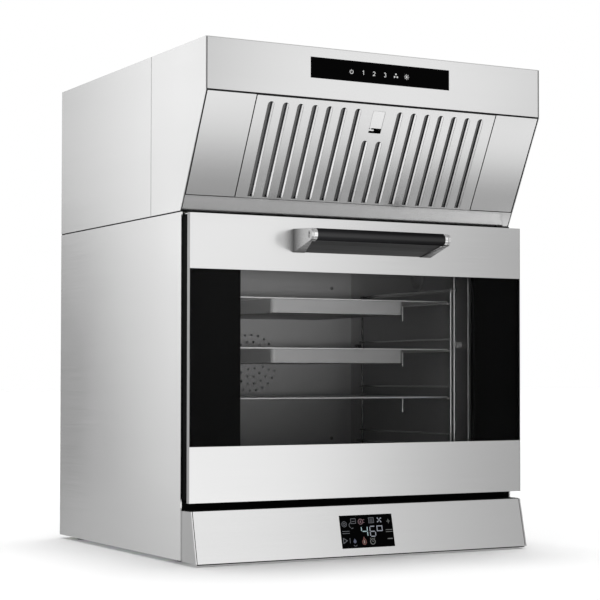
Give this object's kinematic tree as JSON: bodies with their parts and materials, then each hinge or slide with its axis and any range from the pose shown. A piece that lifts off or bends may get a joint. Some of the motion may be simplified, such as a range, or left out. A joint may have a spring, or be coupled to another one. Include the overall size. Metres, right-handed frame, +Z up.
{
  "type": "convection oven",
  "caption": "Countertop convection oven with a bottom-hinged glass door, pull-out trays and a condensing hood with a slotted tilting filter on top.",
  "frame": {"origin": "centre of the footprint's box, on the surface that the feet stand on", "axes": "+X to the right seen from the front, front faces -Y, +Z up"},
  "size_m": [0.602, 0.637, 0.79],
  "materials": {
    "casing_steel": "brushed, vertical grain",
    "front_steel": "fine brushed, horizontal grain",
    "filter_steel": "satin",
    "zinc_sheet": "galvanised, dull",
    "black_enamel": "satin black",
    "glass_print": "black print behind glass",
    "chamber_steel": "satin",
    "wire_chrome": "polished",
    "trim_chrome": "polished",
    "tray_steel": "smooth",
    "door_glass": "clear",
    "lamp_glass": "clear",
    "lamp_bulb": "frosted",
    "seal_rubber": "matte",
    "feet_rubber": "matte",
    "insulation_wool": "fibrous",
    "touch_glass": "gloss black",
    "handle_black": "satin black",
    "gland_plastic": "matte",
    "circuit_board": "satin green",
    "motor_iron": "painted",
    "heater_alloy": "oxidised",
    "hinge_steel": "zinc plated",
    "wheel_aluminium": "satin",
    "mesh_aluminium": "fine mesh",
    "stud_brass": "satin",
    "spout_steel": "satin"
  },
  "bodies": {
    "cabinet": {"side_panels": "casing_steel", "fascia_cheeks": "casing_steel", "hood_front_sides": "casing_steel", "hood_rear_sides": "casing_steel", "hood_top": "casing_steel", "control_fascia": "front_steel", "hood_fascia": "front_steel", "hood_blanks": "front_steel", "hood_lower_strip": "front_steel", "base_pan": "zinc_sheet", "top_panel": "zinc_sheet", "rear_panel": "zinc_sheet", "hood_base": "zinc_sheet", "hood_back": "zinc_sheet", "blower_housing": "zinc_sheet", "front_frame": "black_enamel", "front_ledge": "black_enamel", "cavity_shell": "chamber_steel", "fan_cover": "chamber_steel", "lamp_holder": "chamber_steel", "steam_pipe": "chamber_steel", "rack_left": "wire_chrome", "rack_right": "wire_chrome", "casing_screws": "trim_chrome", "lamp_glass": "lamp_glass", "lamp_bulb": "lamp_bulb", "door_gasket": "seal_rubber", "feet": "feet_rubber", "cavity_insulation": "insulation_wool", "display_glass": "touch_glass", "hood_touch_panel": "touch_glass", "cable_gland": "gland_plastic", "control_board": "circuit_board", "fan_motor": "motor_iron", "blower_motor": "motor_iron", "ring_heater": "heater_alloy", "hinge_receivers": "hinge_steel", "condenser_core": "wheel_aluminium", "earth_stud": "stud_brass", "drain_spout": "spout_steel"},
    "door": {"door_inner_pan": "chamber_steel", "door_inner_glass": "door_glass", "door_outer_glass": "door_glass", "door_glass_mask": "glass_print", "door_top_strip": "front_steel", "door_bottom_strip": "front_steel", "door_edge_trims": "front_steel", "door_rails": "black_enamel", "hinge_arms": "hinge_steel", "handle_grip": "handle_black", "handle_brackets": "front_steel", "handle_caps": "trim_chrome"},
    "filter": {"filter_panel": "filter_steel", "filter_mesh": "mesh_aluminium"},
    "latch": {"filter_latch": "trim_chrome"},
    "fan": {"fan_wheel": "wheel_aluminium"},
    "blower": {"blower_wheel": "wheel_aluminium"},
    "upper_tray": {"tray_upper": "tray_steel"},
    "middle_tray": {"tray_middle": "tray_steel"},
    "lower_tray": {"tray_lower": "tray_steel"}
  },
  "joints": [
    {"name": "door_hinge", "type": "hinge", "parent": "cabinet", "child": "door", "pos_m": [0, -0.2405, 0.106], "axis": [1, 0, 0], "range_deg": [0, 90]},
    {"name": "fan_spin", "type": "hinge", "parent": "cabinet", "child": "fan", "pos_m": [0, 0.1705, 0.309], "axis": [0, 1, 0], "continuous": true},
    {"name": "blower_spin", "type": "hinge", "parent": "cabinet", "child": "blower", "pos_m": [-0.07, 0.0745, 0.676], "axis": [0, 0, 1], "continuous": true},
    {"name": "filter_tilt", "type": "hinge", "parent": "cabinet", "child": "filter", "pos_m": [0, -0.2337, 0.56226], "axis": [1, 0, 0], "range_deg": [0, 60]},
    {"name": "filter_latch_slide", "type": "slide", "parent": "filter", "child": "latch", "axis": [0, 0.4681, -0.8837], "range_m": [0, 0.008], "stiffness_N_per_m": 300, "springref_m": -0.002},
    {"name": "upper_tray_slide", "type": "slide", "parent": "cabinet", "child": "upper_tray", "axis": [0, -1, 0], "range_m": [0, 0.1576]},
    {"name": "middle_tray_slide", "type": "slide", "parent": "cabinet", "child": "middle_tray", "axis": [0, -1, 0], "range_m": [0, 0.2047]},
    {"name": "lower_tray_slide", "type": "slide", "parent": "cabinet", "child": "lower_tray", "axis": [0, -1, 0], "range_m": [0, 0.2518]}
  ],
  "couplings": [
    {"joint": "upper_tray_slide", "follows": "door_hinge", "m_per_rad": 0.1},
    {"joint": "middle_tray_slide", "follows": "door_hinge", "m_per_rad": 0.13},
    {"joint": "lower_tray_slide", "follows": "door_hinge", "m_per_rad": 0.16}
  ]
}
